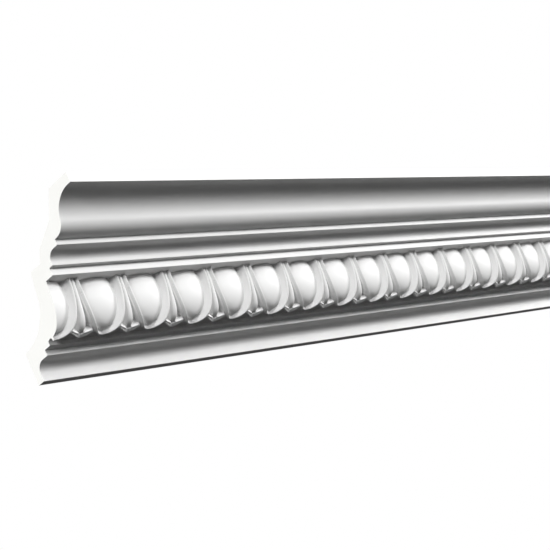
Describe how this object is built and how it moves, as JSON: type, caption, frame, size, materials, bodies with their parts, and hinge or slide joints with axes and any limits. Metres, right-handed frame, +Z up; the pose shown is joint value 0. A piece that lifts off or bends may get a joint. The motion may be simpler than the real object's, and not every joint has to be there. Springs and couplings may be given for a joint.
{
  "type": "cornice moulding",
  "caption": "Straight length of cornice moulding for a wall and ceiling corner, with eggs in shells and arrow-headed darts on its ovolo, coves and a cyma, and a hollow back.",
  "frame": {"origin": "centre of the wall face, at the middle of the moulding's length", "axes": "+X along the moulding, +Y into the wall, +Z up to the ceiling; the carved front looks towards -Y"},
  "size_m": [1.0666, 0.1526, 0.1565],
  "materials": {
    "white_foam": "matt white primer on moulded rigid foam"
  },
  "bodies": {
    "root": {"cornice": "white_foam"}
  },
  "joints": []
}
